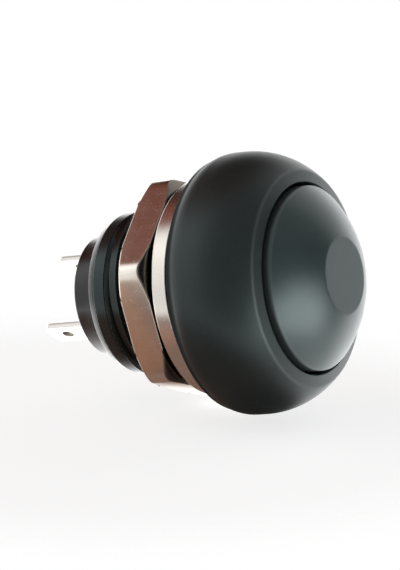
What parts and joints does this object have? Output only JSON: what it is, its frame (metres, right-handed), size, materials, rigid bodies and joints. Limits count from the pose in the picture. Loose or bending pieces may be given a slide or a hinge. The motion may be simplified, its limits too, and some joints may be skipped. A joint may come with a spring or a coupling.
{
  "type": "momentary push button switch",
  "caption": "Small round panel-mount momentary push button with a domed cap in a bulbous head, threaded barrel, hex nut, washer and solder lugs.",
  "frame": {"origin": "centre of the seating face, where the head's rim meets the panel", "axes": "+Z along the switch's axis, out of the button; +X through one solder lug, -X through the other"},
  "size_m": [0.018, 0.018, 0.0232],
  "materials": {
    "housing_nylon": "fine matte, moulded",
    "cap_nylon": "satin, moulded",
    "plunger_acetal": "smooth",
    "base_plastic": "glossy",
    "resin": "glossy, poured",
    "black_rubber": "dull",
    "nickel_plate": "bright nickel plate",
    "tin_plate": "tin plate, satin",
    "spring_wire": "drawn wire",
    "clip_steel": "stamped",
    "brass": "stamped, silver washed",
    "silver_contact": "bright"
  },
  "bodies": {
    "housing": {"housing": "housing_nylon", "o_ring": "black_rubber", "stem_seal": "black_rubber", "seal_retainer": "clip_steel", "return_spring": "spring_wire", "terminal_base": "base_plastic", "terminal_right": "tin_plate", "terminal_left": "tin_plate", "contact_right": "silver_contact", "contact_left": "silver_contact", "potting": "resin"},
    "button": {"button_cap": "cap_nylon", "plunger": "plunger_acetal", "contact_spring": "spring_wire", "bridge_clip": "clip_steel"},
    "bridge": {"contact_bridge": "brass"},
    "washer": {"washer": "nickel_plate"},
    "nut": {"hex_nut": "nickel_plate"}
  },
  "joints": [
    {"name": "button_press", "type": "slide", "parent": "housing", "child": "button", "axis": [0, 0, -1], "range_m": [0, 0.0015], "stiffness_N_per_m": 1000, "springref_m": -0.0015, "deforming": ["return_spring"]},
    {"name": "bridge_float", "type": "slide", "parent": "button", "child": "bridge", "axis": [0, 0, 1], "range_m": [0, 0.0004], "stiffness_N_per_m": 400, "springref_m": -0.001, "deforming": ["contact_spring"]},
    {"name": "washer_slide", "type": "slide", "parent": "housing", "child": "washer", "axis": [0, 0, -1], "range_m": [0, 0.003]},
    {"name": "nut_turn", "type": "hinge", "parent": "washer", "child": "nut", "pos_m": [0, 0, 0], "axis": [0, 0, -1], "range_deg": [0, 1081]}
  ],
  "couplings": [
    {"joint": "nut_turn", "follows": "washer_slide", "rad_per_m": 6283.2}
  ]
}
